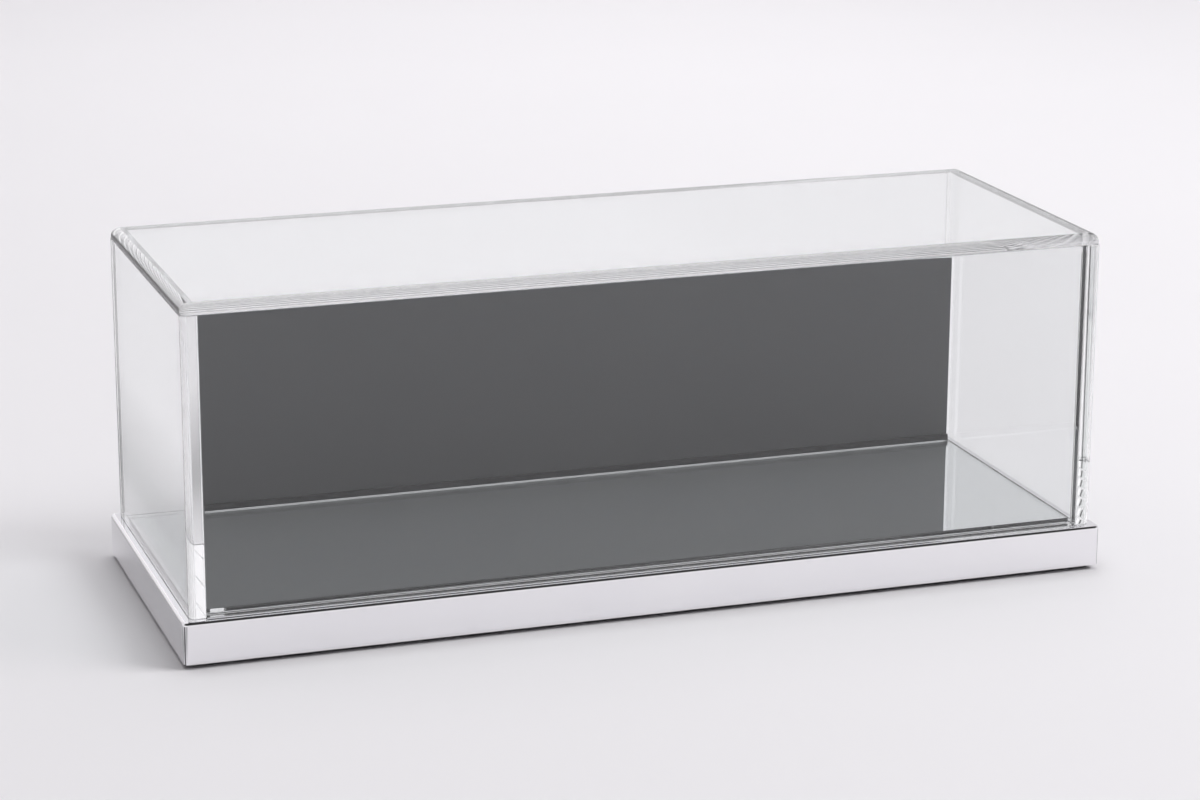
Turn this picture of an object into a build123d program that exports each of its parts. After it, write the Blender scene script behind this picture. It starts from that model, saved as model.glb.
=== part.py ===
"""Clear display case on a mirror-chrome plinth with a hidden manual turntable foot.

Millimetres, +Z up. The origin is on the table under the middle of the case,
+X runs along the length and -Y is the front. One STEP per piece goes to parts/.
"""
from build123d import *
import os

# ---- driving dimensions ------------------------------------------------------
TABLE_GAP = 1.6          # table to the chrome's lower edge
PLINTH_LENGTH = 350.0
PLINTH_DEPTH = 132.0
PLINTH_HEIGHT = 15.5
PLINTH_WALL = 2.2
PLINTH_TOP_SKIN = 2.5
PLINTH_CORNER_R = 2.0
PLINTH_EDGE_R = 1.3
PLINTH_FOOT_EDGE_R = 0.4
SEAM_WIDTH = 0.3         # open mitre of the folded chrome at each corner
SEAM_DEPTH = 0.3

COVER_LEDGE = 3.0        # plinth showing outside the cover
COVER_HEIGHT = 112.0
COVER_WALL = 6.0
COVER_LID = 4.0
COVER_EDGE_R = 3.5       # outer edges of the lid
COVER_CORNER_R = 2.5     # upright outer corners

FIT_GAP = 0.3            # cover wall to the deck, which locates it
DECK_THICK = 1.5
DECK_CORNER_R = 2.0
DECK_EDGE_R = 0.2
MIRROR_THICK = 0.2
TAPE_THICK = 0.3
TAPE_WIDTH = 12.0
TAPE_INSET = 6.0

PANEL_THICK = 2.0
PANEL_LEFT = -143.0
PANEL_RIGHT = 165.2
PANEL_TOP = 95.2
CHANNEL_LIP = 1.4
CHANNEL_SLOT = 2.1
CHANNEL_BACK = 0.6
CHANNEL_HEIGHT = 4.2
CHANNEL_FLOOR = 0.8

BASE_CLEAR = 0.25        # base plate to the plinth wall
BASE_DROP = 0.8          # base plate below the chrome's lower edge
BASE_THICK = 2.4
FOOT_HOLE_R = 56.0
BLOCK_SIDE = 14.0
BLOCK_XS = (-165.0, -82.0, 82.0, 165.0)
BLOCK_Y = 56.0
PILOT_DEPTH = 7.0

FOOT_R = 54.0
FOOT_THICK = 3.0
PAD_PROUD = 0.8
PAD_POCKET = 0.4
PAD_R = 5.5
PAD_PITCH_R = 46.0

PLATE_THICK = 2.0
PLATE_GAP = 1.2
LOWER_R = 38.0
UPPER_SIDE = 84.0
UPPER_CORNER_R = 6.0
BALL_R = 1.5
BALL_PITCH_R = 27.0
BALL_COUNT = 24
RACE_R = BALL_R + 0.12
CAGE_THICK = 0.7
CAGE_WIDTH = 7.0
CAGE_HOLE_R = BALL_R + 0.12

PIN_R = 4.0
PIN_FIT = 0.05
PIN_FLANGE_R = 7.0
PIN_FLANGE_THICK = 1.0
PIN_GROOVE_R = 3.4
WASHER_R = 8.0
WASHER_THICK = 0.6
RING_R = 6.0
RING_THICK = 0.7
RING_MOUTH = 5.0
PIN_TIP = 0.7

SWIVEL_BLOCK_SIDE = 98.0
SWIVEL_BLOCK_HOLE_R = 11.0
LOWER_SCREW_R = 16.0
UPPER_SCREW_XY = 35.0

SCREW_R = 1.5
SCREW_HEAD_R = 2.8
SCREW_HEAD_H = 1.4
PAN_HEAD_H = 1.6
SCREW_CLEAR = 0.1
DRIVE_WIDTH = 0.7
DRIVE_LENGTH = 3.0
DRIVE_DEPTH = 0.7

# ---- levels worked out from them ---------------------------------------------
plinth_top = TABLE_GAP + PLINTH_HEIGHT
ceiling = plinth_top - PLINTH_TOP_SKIN
cover_length = PLINTH_LENGTH - 2 * COVER_LEDGE
cover_depth = PLINTH_DEPTH - 2 * COVER_LEDGE
cover_top = plinth_top + COVER_HEIGHT
room_x = cover_length / 2 - COVER_WALL
room_y = cover_depth / 2 - COVER_WALL

channel_depth = CHANNEL_LIP + CHANNEL_SLOT + CHANNEL_BACK
channel_back_y = room_y - FIT_GAP
channel_front_y = channel_back_y - channel_depth
deck_x = room_x - FIT_GAP
deck_front_y = -(room_y - FIT_GAP)
deck_back_y = channel_front_y - 0.1
deck_top = plinth_top + TAPE_THICK + MIRROR_THICK + DECK_THICK

base_bottom = TABLE_GAP - BASE_DROP
base_top = base_bottom + BASE_THICK
foot_bottom = PAD_PROUD
foot_top = foot_bottom + FOOT_THICK
lower_top = foot_top + PLATE_THICK
upper_bottom = lower_top + PLATE_GAP
upper_top = upper_bottom + PLATE_THICK
race_z = (lower_top + upper_bottom) / 2


# ---- small helpers -----------------------------------------------------------
def block(x0, x1, y0, y1, z0, z1):
    """A box between two corners."""
    low = Align.MIN
    return Pos(x0, y0, z0) * Box(x1 - x0, y1 - y0, z1 - z0, align=(low, low, low))


def disc(radius, z0, z1, x=0.0, y=0.0):
    """A round plate or peg standing between two levels."""
    return Pos(x, y, z0) * Cylinder(radius, z1 - z0, align=(Align.CENTER, Align.CENTER, Align.MIN))


def slab(length, depth, corner_r, z0, z1):
    """A centred plate with rounded vertical corners."""
    outline = RectangleRounded(length, depth, corner_r)
    return Pos(0, 0, z0) * extrude(outline, z1 - z0)


def group(solids):
    """Several separate solids kept together in one node."""
    return Compound(children=[s if isinstance(s, Solid) else s.solid() for s in solids])


def round_places(count, radius, start=0.0):
    """Places evenly spaced on a circle."""
    return [tuple(place.position)[:2] for place in PolarLocations(radius, count, start)]


def corners(x, y):
    """The four mirrored places of one point."""
    return [(sx * x, sy * y) for sx in (-1, 1) for sy in (-1, 1)]


def cross_drive(x, y, z0, z1):
    """The cross recess of a screw head."""
    bar = Box(DRIVE_LENGTH, DRIVE_WIDTH, z1 - z0) + Box(DRIVE_WIDTH, DRIVE_LENGTH, z1 - z0)
    return Pos(x, y, (z0 + z1) / 2) * bar


def flush_screw(x, y, z0, z1):
    """A countersunk screw driven up from below: head at z0, tip at z1."""
    head = Pos(x, y, z0 + SCREW_HEAD_H / 2) * Cone(SCREW_HEAD_R, SCREW_R, SCREW_HEAD_H)
    return head + disc(SCREW_R, z0 + SCREW_HEAD_H, z1, x, y) - cross_drive(x, y, z0, z0 + DRIVE_DEPTH)


def flush_screw_hole(x, y, z0, z1):
    """The countersunk hole that a flush screw fits with a little room."""
    cone = Cone(SCREW_HEAD_R + SCREW_CLEAR, SCREW_R + SCREW_CLEAR, SCREW_HEAD_H)
    return Pos(x, y, z0 + SCREW_HEAD_H / 2) * cone + disc(SCREW_R + SCREW_CLEAR, z0, z1, x, y)


def pan_screw(x, y, seat, z1):
    """A pan-head screw driven up from below: the head hangs under its seat."""
    head = disc(SCREW_HEAD_R, seat - PAN_HEAD_H, seat, x, y)
    head = fillet(head.edges().group_by(Axis.Z)[0], PAN_HEAD_H / 3)
    drive = cross_drive(x, y, seat - PAN_HEAD_H, seat - PAN_HEAD_H + DRIVE_DEPTH)
    return head + disc(SCREW_R, seat, z1, x, y) - drive


# ---- clear cover -------------------------------------------------------------
def cover_shell():
    """The whole bonded cover: rounded outside, square inside, open below."""
    x, y = cover_length / 2, cover_depth / 2
    lid_rounded = block(-x, x, -y, y, plinth_top, cover_top)
    lid_rounded = fillet(lid_rounded.edges().group_by(Axis.Z)[-1], COVER_EDGE_R)
    outer = lid_rounded & slab(cover_length, cover_depth, COVER_CORNER_R, plinth_top, cover_top)
    room = block(-room_x, room_x, -room_y, room_y, plinth_top - 1, cover_top - COVER_LID)
    return outer - room


def cover_panes():
    """The five sheets the cover is bonded from, cut at their joints."""
    shell = cover_shell()
    x, y = cover_length / 2 + 1, cover_depth / 2 + 1
    joint = cover_top - COVER_LID
    low = plinth_top - 1
    cuts = {
        "cover_top_pane": block(-x, x, -y, y, joint, cover_top + 1),
        "cover_front_pane": block(-room_x, room_x, -y, -room_y, low, joint),
        "cover_back_pane": block(-room_x, room_x, room_y, y, low, joint),
        "cover_left_pane": block(-x, -room_x, -y, y, low, joint),
        "cover_right_pane": block(room_x, x, -y, y, low, joint),
    }
    return {name: shell & cut for name, cut in cuts.items()}


# ---- deck and backdrop -------------------------------------------------------
def deck_plate(z0, z1):
    """A plate with the deck's outline, which also locates the cover."""
    mid_y = (deck_front_y + deck_back_y) / 2
    return Pos(0, mid_y, 0) * slab(2 * deck_x, deck_back_y - deck_front_y, DECK_CORNER_R, z0, z1)


def deck_sheet():
    """Clear sheet the model stands on, with softened upper edges."""
    sheet = deck_plate(plinth_top + TAPE_THICK + MIRROR_THICK, deck_top)
    return fillet(sheet.edges().group_by(Axis.Z)[-1], DECK_EDGE_R)


def mirror_backing():
    """Thin mirror laminated under the clear sheet."""
    z0 = plinth_top + TAPE_THICK
    return deck_plate(z0, z0 + MIRROR_THICK)


def deck_tape():
    """Four strips of mounting tape between the mirror and the plinth."""
    x = deck_x - TAPE_INSET
    y0 = deck_front_y + TAPE_INSET
    y1 = deck_back_y - TAPE_INSET
    step = (y1 - y0 - TAPE_WIDTH) / 3
    z0, z1 = plinth_top, plinth_top + TAPE_THICK
    starts = [y0 + i * step for i in range(4)]
    return group([block(-x, x, y, y + TAPE_WIDTH, z0, z1) for y in starts])


def backdrop_channel():
    """Black U channel along the deck's rear edge that holds the panel's foot."""
    body = block(PANEL_LEFT, PANEL_RIGHT, channel_front_y, channel_back_y,
                 plinth_top, plinth_top + CHANNEL_HEIGHT)
    slot_y = channel_front_y + CHANNEL_LIP
    slot = block(PANEL_LEFT - 1, PANEL_RIGHT + 1, slot_y, slot_y + CHANNEL_SLOT,
                 plinth_top + CHANNEL_FLOOR, plinth_top + CHANNEL_HEIGHT + 1)
    return body - slot


def backdrop_panel():
    """Dark satin sheet standing in the channel."""
    y0 = channel_front_y + CHANNEL_LIP + (CHANNEL_SLOT - PANEL_THICK) / 2
    sheet = block(PANEL_LEFT, PANEL_RIGHT, y0, y0 + PANEL_THICK, plinth_top + CHANNEL_FLOOR, PANEL_TOP)
    return chamfer(sheet.edges().filter_by(Axis.X).group_by(Axis.Z)[-1], 0.3)


# ---- plinth ------------------------------------------------------------------
def corner_seams():
    """Thin upright slots, one in the middle of each rounded corner of the chrome."""
    to_arc = PLINTH_CORNER_R * (1 - 0.5 ** 0.5)
    x, y = PLINTH_LENGTH / 2 - to_arc, PLINTH_DEPTH / 2 - to_arc
    height = plinth_top - PLINTH_EDGE_R
    slot = Box(2 * SEAM_DEPTH, SEAM_WIDTH, height, align=(Align.CENTER, Align.CENTER, Align.MIN))
    return [Pos(sx * x, sy * y, 0) * Rot(0, 0, 45 * sx * sy) * slot for sx in (-1, 1) for sy in (-1, 1)]


def plinth_shell():
    """Chromed box with a closed top, open underneath."""
    outer = slab(PLINTH_LENGTH, PLINTH_DEPTH, PLINTH_CORNER_R, TABLE_GAP, plinth_top)
    outer = fillet(outer.edges().group_by(Axis.Z)[-1], PLINTH_EDGE_R)
    outer = fillet(outer.edges().group_by(Axis.Z)[0], PLINTH_FOOT_EDGE_R)
    x = PLINTH_LENGTH / 2 - PLINTH_WALL
    y = PLINTH_DEPTH / 2 - PLINTH_WALL
    return outer - block(-x, x, -y, y, TABLE_GAP - 1, ceiling) - corner_seams()


def corner_blocks():
    """Blocks glued under the plinth's top that take the base plate's screws."""
    half = BLOCK_SIDE / 2
    blocks = []
    for x, y in [(x, sy * BLOCK_Y) for x in BLOCK_XS for sy in (-1, 1)]:
        solid = block(x - half, x + half, y - half, y + half, base_top, ceiling)
        blocks.append(solid - disc(SCREW_R + PIN_FIT, base_top - 1, base_top + PILOT_DEPTH, x, y))
    return group(blocks)


def base_plate():
    """Black plate that closes the plinth, with a round hole for the foot."""
    length = PLINTH_LENGTH - 2 * (PLINTH_WALL + BASE_CLEAR)
    depth = PLINTH_DEPTH - 2 * (PLINTH_WALL + BASE_CLEAR)
    plate = slab(length, depth, 1.0, base_bottom, base_top) - disc(FOOT_HOLE_R, 0, base_top + 1)
    for x, y in [(x, sy * BLOCK_Y) for x in BLOCK_XS for sy in (-1, 1)]:
        plate -= flush_screw_hole(x, y, base_bottom, base_top + 1)
    return plate


def base_plate_screws():
    """Countersunk screws, flush with the base plate."""
    tip = base_top + PILOT_DEPTH - 0.5
    return group([flush_screw(x, sy * BLOCK_Y, base_bottom, tip) for x in BLOCK_XS for sy in (-1, 1)])


# ---- turntable ---------------------------------------------------------------
def race_ring():
    """The round bead of space that the balls run in."""
    return Pos(0, 0, race_z) * Torus(BALL_PITCH_R, RACE_R)


def swivel_block():
    """Square block under the plinth's top that the upper plate is screwed to."""
    solid = slab(SWIVEL_BLOCK_SIDE, SWIVEL_BLOCK_SIDE, UPPER_CORNER_R, upper_top, ceiling)
    solid -= disc(SWIVEL_BLOCK_HOLE_R, upper_top - 1, ceiling + 1)
    for x, y in corners(UPPER_SCREW_XY, UPPER_SCREW_XY):
        solid -= disc(SCREW_R + PIN_FIT, upper_top - 1, ceiling - 1.2, x, y)
    return solid


def swivel_upper_plate():
    """Square upper bearing plate that turns with the case."""
    plate = slab(UPPER_SIDE, UPPER_SIDE, UPPER_CORNER_R, upper_bottom, upper_top)
    plate -= disc(PIN_R + PIN_FIT, upper_bottom - 1, upper_top + 1) + race_ring()
    for x, y in corners(UPPER_SCREW_XY, UPPER_SCREW_XY):
        plate -= disc(SCREW_R + SCREW_CLEAR, upper_bottom - 1, upper_top + 1, x, y)
    return plate


def upper_plate_screws():
    """Pan-head screws through the upper plate into the block."""
    tip = ceiling - 1.6
    places = corners(UPPER_SCREW_XY, UPPER_SCREW_XY)
    return group([pan_screw(x, y, upper_bottom, tip) for x, y in places])


def swivel_balls():
    """Steel balls between the two plates."""
    return group([Pos(x, y, race_z) * Sphere(BALL_R) for x, y in round_places(BALL_COUNT, BALL_PITCH_R)])


def ball_cage():
    """Thin ring that spaces the balls."""
    z0, z1 = race_z - CAGE_THICK / 2, race_z + CAGE_THICK / 2
    ring = disc(BALL_PITCH_R + CAGE_WIDTH / 2, z0, z1) - disc(BALL_PITCH_R - CAGE_WIDTH / 2, z0 - 1, z1 + 1)
    for x, y in round_places(BALL_COUNT, BALL_PITCH_R):
        ring -= disc(CAGE_HOLE_R, z0 - 1, z1 + 1, x, y)
    return ring


def swivel_lower_plate():
    """Round lower bearing plate fixed to the foot."""
    plate = disc(LOWER_R, foot_top, lower_top) - race_ring()
    plate -= disc(PIN_R + PIN_FIT, foot_top - 1, lower_top + 1)
    plate -= disc(PIN_FLANGE_R + PIN_FIT, foot_top - 1, foot_top + PIN_FLANGE_THICK)
    for x, y in round_places(4, LOWER_SCREW_R, 45):
        plate -= disc(SCREW_R + PIN_FIT, foot_top - 1, lower_top + 1, x, y)
    return plate


def lower_plate_screws():
    """Countersunk screws up through the foot into the lower plate."""
    tip = lower_top - 0.2
    return group([flush_screw(x, y, foot_bottom, tip) for x, y in round_places(4, LOWER_SCREW_R, 45)])


def pivot_pin():
    """Flanged pin that the upper plate turns on, grooved for its ring."""
    washer_z = upper_top + PIN_FIT
    groove_z = washer_z + WASHER_THICK
    tip = groove_z + RING_THICK + 2 * PIN_FIT + PIN_TIP
    pin = disc(PIN_FLANGE_R, foot_top, foot_top + PIN_FLANGE_THICK) + disc(PIN_R, foot_top, tip)
    pin = chamfer(pin.edges().group_by(Axis.Z)[-1], PIN_TIP / 2)
    groove = disc(PIN_R + 1, groove_z, groove_z + RING_THICK + 2 * PIN_FIT)
    return pin - (groove - disc(PIN_GROOVE_R, groove_z - 1, tip))


def thrust_washer():
    """Washer between the upper plate and the ring."""
    z0 = upper_top + PIN_FIT
    return disc(WASHER_R, z0, z0 + WASHER_THICK) - disc(PIN_R + PIN_FIT, z0 - 1, z0 + 1)


def retaining_ring():
    """Open ring sprung into the pin's groove."""
    z0 = upper_top + 2 * PIN_FIT + WASHER_THICK
    z1 = z0 + RING_THICK
    ring = disc(RING_R, z0, z1) - disc(PIN_GROOVE_R + PIN_FIT, z0 - 1, z1 + 1)
    half = RING_MOUTH / 2
    return ring - block(0, RING_R + 1, -half, half, z0 - 1, z1 + 1)


def foot_disc():
    """Round foot that stands still while the case turns."""
    foot = disc(FOOT_R, foot_bottom, foot_top)
    foot = fillet(foot.edges().group_by(Axis.Z)[0] + foot.edges().group_by(Axis.Z)[-1], 0.5)
    for x, y in round_places(4, LOWER_SCREW_R, 45):
        foot -= flush_screw_hole(x, y, foot_bottom, foot_top + 1)
    for x, y in round_places(4, PAD_PITCH_R, 45):
        foot -= disc(PAD_R + PIN_FIT, foot_bottom - 1, foot_bottom + PAD_POCKET, x, y)
    return foot


def foot_pads():
    """Soft pads let into the foot's underside."""
    pads = []
    for x, y in round_places(4, PAD_PITCH_R, 45):
        pad = disc(PAD_R, 0, foot_bottom + PAD_POCKET, x, y)
        pads.append(fillet(pad.edges().group_by(Axis.Z)[0], 0.3))
    return group(pads)


# ---- write every node --------------------------------------------------------
def all_nodes():
    nodes = cover_panes()
    makers = (backdrop_panel, backdrop_channel, deck_sheet, mirror_backing, deck_tape, plinth_shell,
              corner_blocks, base_plate, base_plate_screws, swivel_block, swivel_upper_plate,
              upper_plate_screws, swivel_balls, ball_cage, swivel_lower_plate, lower_plate_screws,
              pivot_pin, thrust_washer, retaining_ring, foot_disc, foot_pads)
    for maker in makers:
        nodes[maker.__name__] = maker()
    return nodes


os.makedirs("parts", exist_ok=True)
for name, shape in all_nodes().items():
    export_step(shape, f"parts/{name}.step")
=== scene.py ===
"""Looks for the clear display case on its chrome plinth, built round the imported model."""
import math

import bmesh
import bpy
from mathutils import Matrix, Vector


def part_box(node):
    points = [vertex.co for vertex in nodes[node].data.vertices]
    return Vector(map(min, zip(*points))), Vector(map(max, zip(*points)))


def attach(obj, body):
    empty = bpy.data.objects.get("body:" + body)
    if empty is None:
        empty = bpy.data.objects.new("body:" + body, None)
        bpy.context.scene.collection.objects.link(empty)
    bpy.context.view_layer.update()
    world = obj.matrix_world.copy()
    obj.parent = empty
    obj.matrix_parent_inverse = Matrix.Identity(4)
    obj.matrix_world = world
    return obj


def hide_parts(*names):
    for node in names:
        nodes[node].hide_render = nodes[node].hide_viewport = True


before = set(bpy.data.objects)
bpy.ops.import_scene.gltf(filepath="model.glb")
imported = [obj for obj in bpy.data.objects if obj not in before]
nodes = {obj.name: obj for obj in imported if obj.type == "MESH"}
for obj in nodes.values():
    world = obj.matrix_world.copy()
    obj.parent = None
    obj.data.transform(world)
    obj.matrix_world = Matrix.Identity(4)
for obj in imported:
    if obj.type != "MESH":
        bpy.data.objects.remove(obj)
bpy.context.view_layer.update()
scene = bpy.context.scene
MM = 0.001

# ---- sizes ---------------------------------------------------------------------
HAIR = 0.02 * MM            # air left in each cement joint, so the joints show as fine lines
LID_ROUND = 3.5 * MM        # outer edges of the lid
CORNER_ROUND = 2.5 * MM     # upright outer corners of the cover
DECK_ROUND = 2.0 * MM       # upright corners of the clear deck
PANE_SOFTENING = 0.45 * MM  # every other edge of the cover, flame-polished
DECK_SOFTENING = 0.2 * MM   # edges of the clear deck
SOFTENED_ANGLE = 0.6        # edges that turn by more than this, in radians, are softened
SEAM_BAND = 0.24 * MM       # half the width of the painted shade line in the open mitre at each corner
SEAM_STOP = 1.3 * MM        # how far below the plinth's top the mitre ends
TINY = 1e-6                 # places nearer to each other than this are the same


# ---- small helpers -------------------------------------------------------------
def srgb(code, alpha=1.0):
    """An sRGB hex colour as linear RGBA."""
    levels = [int(code[i:i + 2], 16) / 255 for i in (1, 3, 5)]
    return [v / 12.92 if v <= 0.04045 else ((v + 0.055) / 1.055) ** 2.4 for v in levels] + [alpha]


def add_node(tree, kind, inputs=None, **settings):
    """Adds one shader node with its settings; an input is a value or another node's output."""
    node = tree.nodes.new(kind)
    for name, value in settings.items():
        setattr(node, name, value)
    for name, value in (inputs or {}).items():
        if isinstance(value, bpy.types.NodeSocket):
            tree.links.new(value, node.inputs[name])
        else:
            node.inputs[name].default_value = value
    return node


def new_material(name):
    """An empty node material with its output and its principled shader."""
    material = bpy.data.materials.new(name)
    material.use_nodes = True
    tree = material.node_tree
    tree.nodes.clear()
    shader = add_node(tree, "ShaderNodeBsdfPrincipled")
    output = add_node(tree, "ShaderNodeOutputMaterial", {"Surface": shader.outputs[0]})
    return material, tree, shader, output


def settle(shader, **values):
    """Sets even values on the shader's own sockets."""
    for name, value in values.items():
        shader.inputs[name.replace("_", " ")].default_value = value


def object_place(tree, stretch=(1.0, 1.0, 1.0)):
    """Object coordinates, in metres, stretched per axis."""
    coords = add_node(tree, "ShaderNodeTexCoord")
    mapping = add_node(tree, "ShaderNodeMapping", {"Vector": coords.outputs["Object"], "Scale": stretch})
    return mapping.outputs[0]


def object_axes(tree):
    """The X, Y and Z of object coordinates, in metres."""
    return add_node(tree, "ShaderNodeSeparateXYZ", {"Vector": object_place(tree)}).outputs


def noise(tree, size_mm, stretch=(1.0, 1.0, 1.0), detail=2.0):
    """Noise whose blotches are about size_mm across."""
    return add_node(tree, "ShaderNodeTexNoise", {
        "Vector": object_place(tree, stretch), "Scale": 1 / (size_mm * MM), "Detail": detail}).outputs["Fac"]


def calculate(tree, first, second, how):
    """One sum on two numbers; a sum on one number leaves the second out."""
    return add_node(tree, "ShaderNodeMath", {0: first, 1: second}, operation=how).outputs[0]


def span(tree, source, low, high, from_low=0.3, from_high=0.7):
    """Maps a number from one stretch to another and holds it at both ends. Noise keeps to 0.3 to 0.7."""
    return add_node(tree, "ShaderNodeMapRange", {
        "Value": source, "From Min": from_low, "From Max": from_high,
        "To Min": low, "To Max": high}).outputs["Result"]


def shift(tree, amount, start, end):
    """Goes from start to end as amount goes from none to one."""
    return span(tree, amount, start, end, from_low=0.0, from_high=1.0)


def tint(tree, source, dark, light):
    """Mixes two hex colours by a number."""
    return add_node(tree, "ShaderNodeMix", {
        0: source, 6: srgb(dark), 7: srgb(light)}, data_type="RGBA").outputs[2]


def lay_over(tree, colour, code, amount):
    """Lays a hex colour over another colour, as thickly as amount says."""
    return add_node(tree, "ShaderNodeMix", {
        0: amount, 6: colour, 7: srgb(code)}, data_type="RGBA").outputs[2]


def bump(tree, shader, height, depth_mm):
    """Raises the surface by a pattern of the given depth."""
    node = add_node(tree, "ShaderNodeBump", {"Height": height, "Distance": depth_mm * MM})
    tree.links.new(node.outputs[0], shader.inputs["Normal"])


# ---- materials -----------------------------------------------------------------
def clear_acrylic():
    """Cast acrylic with polished edges: clear and a little cool, and it lets the lamps' light in."""
    material, tree, shader, output = new_material("clear_cast_acrylic")
    settle(shader, Base_Color=srgb("#fdfefe"), Roughness=0.0, IOR=1.49, Transmission_Weight=1.0)
    through = add_node(tree, "ShaderNodeBsdfTransparent", {"Color": srgb("#f8f9f9")})
    ray = add_node(tree, "ShaderNodeLightPath").outputs
    lighting = calculate(tree, ray["Is Shadow Ray"], ray["Is Diffuse Ray"], "MAXIMUM")
    mixed = add_node(tree, "ShaderNodeMixShader", {0: lighting, 1: shader.outputs[0], 2: through.outputs[0]})
    tree.links.new(mixed.outputs[0], output.inputs["Surface"])
    return material


def shaded_corner_seams(tree):
    """One in the open mitres at the plinth's corners, where |x| - |y| is as at a corner, else none: where
    the chrome carries painted shade and is rougher.
    """
    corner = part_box("plinth_shell")[1]
    axes = object_axes(tree)
    across = calculate(tree, calculate(tree, axes["X"], 0.0, "ABSOLUTE"),
                       calculate(tree, axes["Y"], 0.0, "ABSOLUTE"), "SUBTRACT")
    past_mitre = calculate(tree, across, corner.x - corner.y, "SUBTRACT")
    beside = calculate(tree, calculate(tree, past_mitre, 0.0, "ABSOLUTE"), SEAM_BAND, "LESS_THAN")
    below = calculate(tree, axes["Z"], corner.z - SEAM_STOP, "LESS_THAN")
    return calculate(tree, beside, below, "MULTIPLY")


def mirror_chrome():
    """Polished chrome plate: near-perfect mirror, a faint long ripple, wiped smears, and corner seams that
    are rougher and carry painted shade.
    """
    material, tree, shader, _ = new_material("polished_chrome_plate")
    settle(shader, Metallic=1.0)
    shaded_seam = shaded_corner_seams(tree)
    plate = tint(tree, noise(tree, size_mm=40), "#eeedf0", "#f3f2f4")
    # painted shade: the open mitres at the corners are coloured dark grey (#38383a) to stand for shade in
    # the groove
    tree.links.new(lay_over(tree, plate, "#38383a", shaded_seam), shader.inputs["Base Color"])
    smear = span(tree, noise(tree, size_mm=18, stretch=(1.0, 1.0, 3.0), detail=4.0), 0.012, 0.03)
    dullness = calculate(tree, shaded_seam, 0.45, "MULTIPLY")
    tree.links.new(calculate(tree, smear, dullness, "ADD"), shader.inputs["Roughness"])
    bump(tree, shader, noise(tree, size_mm=35), depth_mm=0.004)
    return material


def mirror_sheet():
    """Silvered backing seen through the clear deck: a mirror with a slight milky haze."""
    material, tree, shader, _ = new_material("silvered_backing")
    settle(shader, Metallic=0.88)
    tree.links.new(tint(tree, noise(tree, size_mm=60), "#f2f2f4", "#f6f6f7"), shader.inputs["Base Color"])
    smear = span(tree, noise(tree, size_mm=25, detail=4.0), 0.012, 0.028)
    tree.links.new(smear, shader.inputs["Roughness"])
    bump(tree, shader, noise(tree, size_mm=80), depth_mm=0.003)
    return material


def satin_backdrop():
    """Dark satin sheet: soft, even grey. Its pearl grain is drawn coarser than the real one, so it shows."""
    material, tree, shader, _ = new_material("satin_dark_sheet")
    settle(shader, Specular_IOR_Level=0.4)
    drift = noise(tree, size_mm=55, detail=3.0)
    tree.links.new(tint(tree, drift, "#545557", "#5a5b5c"), shader.inputs["Base Color"])
    gloss = span(tree, noise(tree, size_mm=1.2, detail=3.0), 0.42, 0.55)
    tree.links.new(gloss, shader.inputs["Roughness"])
    bump(tree, shader, noise(tree, size_mm=0.6), depth_mm=0.03)
    return material


def black_anodised():
    """Black anodised aluminium with a fine drawn grain along its length."""
    material, tree, shader, _ = new_material("black_anodised_aluminium")
    settle(shader, Metallic=0.6)
    tree.links.new(tint(tree, noise(tree, size_mm=6), "#1a1a1c", "#242427"), shader.inputs["Base Color"])
    gloss = span(tree, noise(tree, size_mm=0.5, stretch=(0.05, 1.0, 1.0)), 0.3, 0.45)
    tree.links.new(gloss, shader.inputs["Roughness"])
    bump(tree, shader, noise(tree, size_mm=0.4, stretch=(0.03, 1.0, 1.0)), depth_mm=0.01)
    return material


GRAINS_PER_DRIFT = 12   # the colour of a grained surface drifts over this many grains
GLOSS_SPREAD = 0.07     # how far its roughness strays to each side


def plain_grained(name, dark, light, grain_mm, rough, depth_mm, metal=0.0):
    """A moulded, coated or rolled surface: small colour drift, grain in gloss and height."""
    material, tree, shader, _ = new_material(name)
    settle(shader, Metallic=metal)
    drift = noise(tree, grain_mm * GRAINS_PER_DRIFT)
    tree.links.new(tint(tree, drift, dark, light), shader.inputs["Base Color"])
    gloss = span(tree, noise(tree, grain_mm, detail=3.0), rough - GLOSS_SPREAD, rough + GLOSS_SPREAD)
    tree.links.new(gloss, shader.inputs["Roughness"])
    bump(tree, shader, noise(tree, grain_mm), depth_mm)
    return material


acrylic = clear_acrylic()
# raw medium fibreboard: warm brown with fine fibres
board = plain_grained("raw_fibreboard", "#9a7a56", "#b08d66", grain_mm=0.8, rough=0.8, depth_mm=0.05)
# bright zinc: pale, slightly mottled
zinc = plain_grained("bright_zinc_plate", "#b4b8bb", "#cbced0",
                     grain_mm=0.9, rough=0.28, depth_mm=0.006, metal=1.0)
# turned bright steel: fine tool marks
turned_steel = plain_grained("turned_bright_steel", "#a9abad", "#bfc1c3",
                             grain_mm=0.3, rough=0.24, depth_mm=0.006, metal=1.0)

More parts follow.
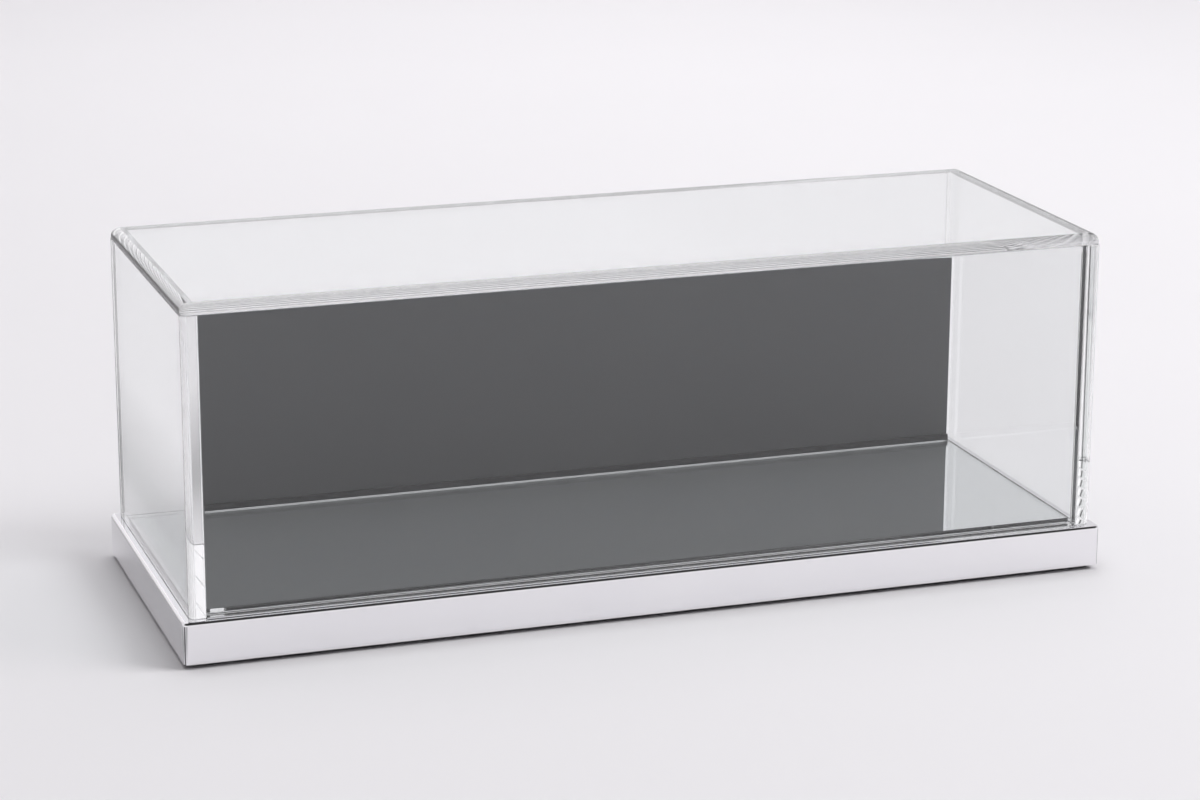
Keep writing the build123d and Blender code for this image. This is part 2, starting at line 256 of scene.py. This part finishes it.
FINISHES = {
    "plinth_shell": mirror_chrome(),
    "mirror_backing": mirror_sheet(),
    "backdrop_panel": satin_backdrop(),
    "backdrop_channel": black_anodised(),
    "corner_blocks": board,
    "swivel_block": board,
    # black-faced board: matt with a fine pebble grain
    "base_plate": plain_grained("black_faced_board", "#131314", "#1c1c1d",
                                grain_mm=0.7, rough=0.6, depth_mm=0.04),
    # black-oxide screws: dull black steel
    "base_plate_screws": plain_grained("black_oxide_steel", "#1b1b1d", "#29292b",
                                       grain_mm=0.4, rough=0.42, depth_mm=0.008, metal=0.9),
    "swivel_upper_plate": zinc,
    "swivel_lower_plate": zinc,
    "upper_plate_screws": zinc,
    "lower_plate_screws": zinc,
    # hardened bearing balls: polished
    "swivel_balls": plain_grained("polished_bearing_steel", "#c4c6c8", "#d2d3d5",
                                  grain_mm=1.0, rough=0.09, depth_mm=0.001, metal=1.0),
    # natural nylon: milky, waxy
    "ball_cage": plain_grained("natural_nylon", "#d9d6c9", "#e6e3d8",
                               grain_mm=0.5, rough=0.4, depth_mm=0.01),
    "pivot_pin": turned_steel,
    "thrust_washer": turned_steel,
    # blued spring steel: dark with a blue cast
    "retaining_ring": plain_grained("blued_spring_steel", "#2e3036", "#3f4149",
                                    grain_mm=0.4, rough=0.33, depth_mm=0.006, metal=1.0),
    # moulded black foot: spark-eroded texture
    "foot_disc": plain_grained("textured_black_plastic", "#161617", "#1f1f20",
                               grain_mm=0.6, rough=0.55, depth_mm=0.05),
    # soft rubber pads: dead matt
    "foot_pads": plain_grained("soft_black_rubber", "#1a1a1a", "#242424",
                               grain_mm=0.9, rough=0.82, depth_mm=0.03),
    # grey foam tape: open-celled and matt
    "deck_tape": plain_grained("grey_foam_tape", "#6d6e70", "#7d7e80",
                               grain_mm=0.7, rough=0.85, depth_mm=0.06),
}


# ---- pieces --------------------------------------------------------------------
def wear(piece, material):
    """Gives a piece one material all over."""
    piece.data.materials.clear()
    piece.data.materials.append(material)


def place_mesh(name, maker, material):
    """Puts a finished bmesh in an object at the origin, shaded smooth, and gives it a material."""
    mesh = bpy.data.meshes.new(name)
    bmesh.ops.recalc_face_normals(maker, faces=maker.faces)
    maker.to_mesh(mesh)
    maker.free()
    mesh.shade_smooth()
    piece = bpy.data.objects.new(name, mesh)
    scene.collection.objects.link(piece)
    wear(piece, material)
    return piece


def soften(piece, width):
    """Softens a piece's sharp edges and keeps its flat faces flat."""
    bevel = piece.modifiers.new("soft_edges", "BEVEL")
    bevel.width = width
    bevel.segments = 3
    bevel.limit_method = "ANGLE"
    bevel.angle_limit = SOFTENED_ANGLE
    weighted = piece.modifiers.new("flat_faces", "WEIGHTED_NORMAL")
    weighted.keep_sharp = True


def box_mesh(low, high):
    """A bmesh box between two corners."""
    maker = bmesh.new()
    place = Matrix.Translation((low + high) / 2) @ Matrix.Diagonal((*(high - low), 1.0))
    bmesh.ops.create_cube(maker, size=1.0, matrix=place)
    return maker


def is_upright(edge):
    return abs(edge.verts[0].co.z - edge.verts[1].co.z) > TINY


def round_edges(maker, edges, radius, steps):
    """Rounds some edges of a bmesh."""
    bmesh.ops.bevel(maker, geom=edges, offset=radius, offset_type="OFFSET", segments=steps,
                    profile=0.5, affect="EDGES", material=-1, clamp_overlap=True)


def acrylic_pane(side):
    """One polished sheet of the cover, a hair short of its neighbours all round."""
    node_name = f"cover_{side}_pane"
    low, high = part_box(node_name)
    low, high = low + Vector((HAIR, HAIR, HAIR)), high - Vector((HAIR, HAIR, HAIR))
    maker = box_mesh(low, high)
    if side == "top":
        # all but its lower edges
        outer = [e for e in maker.edges if max(v.co.z for v in e.verts) > high.z - TINY]
        round_edges(maker, outer, LID_ROUND, steps=14)
    if side in ("left", "right"):
        face = low.x if side == "left" else high.x
        outer = [e for e in maker.edges if is_upright(e) and abs(e.verts[0].co.x - face) < TINY]
        round_edges(maker, outer, CORNER_ROUND, steps=14)
    pane = place_mesh(f"acrylic_{side}", maker, acrylic)
    soften(pane, PANE_SOFTENING)
    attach(pane, "cover")
    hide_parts(node_name)


def clear_deck():
    """The clear sheet over the mirror: its polished rim shows as a bright line."""
    low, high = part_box("deck_sheet")
    maker = box_mesh(low + Vector((0, 0, HAIR)), high)
    round_edges(maker, [e for e in maker.edges if is_upright(e)], DECK_ROUND, steps=10)
    deck = place_mesh("clear_deck", maker, acrylic)
    soften(deck, DECK_SOFTENING)
    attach(deck, "case")
    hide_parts("deck_sheet")


for pane_side in ("top", "front", "back", "left", "right"):
    acrylic_pane(pane_side)
clear_deck()
for node_name, finish in FINISHES.items():
    wear(nodes[node_name], finish)


# ---- stage ---------------------------------------------------------------------
# The room is lit as for polished goods: mirrors and clear sheets see dark places that matt surfaces don't,
# which draw the dark lines along their edges. Places are in metres from the middle of the case's foot.
def polished_look(tree):
    """One for a ray that left a mirror or a clear sheet and met no matt surface before, else none."""
    ray = add_node(tree, "ShaderNodeLightPath").outputs
    polished = calculate(tree, ray["Is Glossy Ray"], ray["Is Transmission Ray"], "MAXIMUM")
    return calculate(tree, polished, calculate(tree, ray["Diffuse Depth"], 0.5, "LESS_THAN"), "MULTIPLY")


def painted_floor_shade(tree, place):
    """Painted shade: a strip of floor close on the left, and the floor behind on the right, dimmer in any
    reflection.
    """
    close_left = calculate(tree, span(tree, place["X"], 1.0, 0.0, from_low=-0.195, from_high=-0.177),
                           span(tree, place["X"], 0.25, 1.0, from_low=-0.225, from_high=-0.20), "MULTIPLY")
    behind_right = calculate(tree, span(tree, place["X"], 0.0, 1.0, from_low=0.20, from_high=0.25),
                             span(tree, place["Y"], 0.0, 1.0, from_low=-0.05, from_high=0.0), "MULTIPLY")
    either = calculate(tree, close_left, behind_right, "MAXIMUM")
    depth = add_node(tree, "ShaderNodeLightPath").outputs["Glossy Depth"]
    reflected = calculate(tree, calculate(tree, depth, 0.5, "GREATER_THAN"), polished_look(tree), "MULTIPLY")
    return calculate(tree, either, reflected, "MULTIPLY")


def matt_white():
    """Matt white paper. For mirrors and clear sheets alone it carries painted shade in places, and the wall
    glows with painted light.
    """
    material, tree, shader, _ = new_material("matt_white_sweep")
    settle(shader, Roughness=0.9, Specular_IOR_Level=0.1, Emission_Color=srgb("#fdfcfe"))
    place = object_axes(tree)
    white = tint(tree, noise(tree, size_mm=300), "#e9e7ea", "#eceaed")
    # painted shade: grey #a9a8aa laid over the white where mirrors and clear sheets see these parts of the
    # floor
    tree.links.new(lay_over(tree, white, "#a9a8aa", painted_floor_shade(tree, place)), shader.inputs["Base Color"])
    # painted light: the wall glows for mirrors and clear sheets alone, more the higher it stands
    glow = span(tree, place["Z"], 0.04, 0.5, from_low=0.05, from_high=0.35)
    glow = calculate(tree, glow, polished_look(tree), "MULTIPLY")
    tree.links.new(glow, shader.inputs["Emission Strength"])
    return material


def studio_sweep():
    """A pale floor that curves up into the wall behind."""
    front, back, wall_top, half_width = -4.0, 1.6, 3.0, 4.0
    bend, steps = 0.8, 16
    outline = [(front, 0.0), (back, 0.0)]
    for step in range(1, steps + 1):
        turn = math.pi / 2 * step / steps
        outline.append((back + bend * math.sin(turn), bend * (1 - math.cos(turn))))
    outline.append((back + bend, wall_top))
    maker = bmesh.new()
    points = [maker.verts.new((-half_width, y, z)) for y, z in outline]
    edges = [maker.edges.new(pair) for pair in zip(points, points[1:])]
    pulled = bmesh.ops.extrude_edge_only(maker, edges=edges)["geom"]
    far = [g for g in pulled if isinstance(g, bmesh.types.BMVert)]
    bmesh.ops.translate(maker, verts=far, vec=(2 * half_width, 0, 0))
    return place_mesh("studio_sweep", maker, matt_white())


def soft_lamp(name, place, aim, size, power):
    """A soft box pointed at a place. Polished faces see the room and the lit wall, not the box itself."""
    data = bpy.data.lights.new(name, "AREA")
    data.shape = "RECTANGLE"
    data.size, data.size_y = size
    data.energy = power
    lamp = bpy.data.objects.new(name, data)
    lamp.location = place
    lamp.rotation_euler = (Vector(aim) - Vector(place)).to_track_quat("-Z", "Y").to_euler()
    lamp.visible_glossy = False
    lamp.visible_transmission = False
    scene.collection.objects.link(lamp)


def studio_world():
    """Even pale light, with a dark ceiling in front of the case, so polished edges draw dark lines."""
    world = bpy.data.worlds.new("studio_room")
    scene.world = world
    world.use_nodes = True
    tree = world.node_tree
    tree.nodes.clear()
    coords = add_node(tree, "ShaderNodeTexCoord")
    way = add_node(tree, "ShaderNodeSeparateXYZ", {"Vector": coords.outputs["Generated"]}).outputs

    # what falls on matt surfaces: the room is unlit low down in front and to the left
    unlit = calculate(tree, span(tree, way["Y"], 1.0, 0.0, from_low=-0.4, from_high=-0.2),
                      span(tree, way["X"], 1.0, 0.0, from_low=-0.75, from_high=-0.6), "MAXIMUM")
    low_down = span(tree, way["Z"], 1.0, 0.0, from_low=0.8, from_high=0.9)
    fill = shift(tree, calculate(tree, unlit, low_down, "MULTIPLY"), 0.4, 0.03)
    # what mirrors and clear sheets see: light low all round and behind, and a dark ceiling in front
    high_up = calculate(tree, 1.0, span(tree, way["Z"], 1.0, 0.0, from_low=0.32, from_high=0.45), "SUBTRACT")
    in_front = span(tree, way["Y"], 1.0, 0.0, from_low=0.0, from_high=0.25)
    seen = shift(tree, calculate(tree, in_front, high_up, "MULTIPLY"), 0.95, 0.04)
    # and the camera sees it plain
    camera_ray = add_node(tree, "ShaderNodeLightPath").outputs["Is Camera Ray"]
    level = shift(tree, camera_ray, shift(tree, polished_look(tree), fill, seen), 0.95)
    light = add_node(tree, "ShaderNodeBackground", {"Color": srgb("#fdfcfe"), "Strength": level})
    add_node(tree, "ShaderNodeOutputWorld", {"Surface": light.outputs[0]})


def product_camera(azimuth, elevation, roll, distance, target, lens):
    """A long lens looking down on the case from the front left."""
    a, e = math.radians(azimuth), math.radians(elevation)
    back = Vector((math.sin(a) * math.cos(e), -math.cos(a) * math.cos(e), math.sin(e)))
    data = bpy.data.cameras.new("camera")
    data.lens = lens
    data.sensor_width = 36.0
    data.clip_start, data.clip_end = 0.01, 50
    camera = bpy.data.objects.new("camera", data)
    camera.location = target + back * distance
    camera.rotation_euler = ((-back).to_track_quat("-Z", "Y").to_matrix()
                             @ Matrix.Rotation(math.radians(roll), 3, "Z")).to_euler()
    scene.collection.objects.link(camera)
    scene.camera = camera


studio_sweep()
soft_lamp("key_right", place=(2.25, -1.05, 2.0), aim=(0, 0, 0.05), size=(1.6, 1.6), power=59)
soft_lamp("overhead", place=(0.0, 0.4, 2.3), aim=(0, 0.4, 0), size=(3.0, 2.0), power=30)
soft_lamp("behind", place=(0.35, 1.2, 0.9), aim=(0.35, 1.2, 0), size=(0.5, 0.5), power=1.8)
studio_world()
product_camera(azimuth=-18.86, elevation=15.84, roll=0.19, distance=1.2532,
               target=Vector((-0.00134, 0.0, 0.0640)), lens=100.6)
scene.view_settings.view_transform = "Standard"
# enough bounces for light piped along the inside of the clear panes
scene.cycles.max_bounces = 40
scene.cycles.glossy_bounces = 32
scene.cycles.transmission_bounces = 32
scene.cycles.transparent_max_bounces = 32
